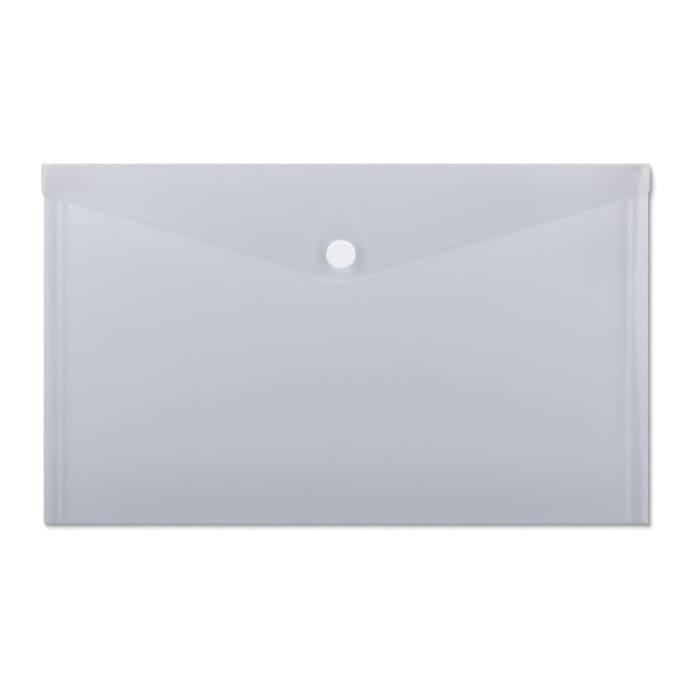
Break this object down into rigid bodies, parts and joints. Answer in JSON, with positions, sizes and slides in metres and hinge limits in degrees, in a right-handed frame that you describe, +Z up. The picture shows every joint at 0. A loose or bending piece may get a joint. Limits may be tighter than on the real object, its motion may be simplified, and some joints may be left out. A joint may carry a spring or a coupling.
{
  "type": "document wallet",
  "caption": "Frosted plastic document wallet: a flat pocket with pleated side gussets and a pointed flap that closes with a press stud.",
  "frame": {"origin": "middle of the wallet's footprint, on the surface that it lies on", "axes": "+X along the width to the right, +Y from the bottom fold up to the top fold, +Z up out of the front"},
  "size_m": [0.25, 0.148, 0.0052],
  "materials": {
    "sheet": "frosted translucent polypropylene",
    "snap": "white moulded plastic"
  },
  "bodies": {
    "pocket": {"back_panel": "sheet", "bottom_fold": "sheet", "left_gusset": "sheet", "right_gusset": "sheet", "flap_crease": "sheet"},
    "front": {"front_panel": "sheet", "snap_stud": "snap", "snap_stud_cap": "snap"},
    "flap": {"flap": "sheet", "snap_cap": "snap", "snap_socket": "snap"}
  },
  "joints": [
    {"name": "flap_open", "type": "hinge", "parent": "pocket", "child": "flap", "pos_m": [0, 0.074, 0.00075], "axis": [-1, 0, 0], "range_deg": [0, 172], "deforming": ["flap_crease"]},
    {"name": "pocket_open", "type": "hinge", "parent": "pocket", "child": "front", "pos_m": [0, -0.073, 0.0019], "axis": [1, 0, 0], "range_deg": [0, 5], "deforming": ["left_gusset", "right_gusset", "bottom_fold"]}
  ],
  "couplings": [
    {"joint": "pocket_open", "follows": "flap_open", "ratio": 0.02907}
  ]
}
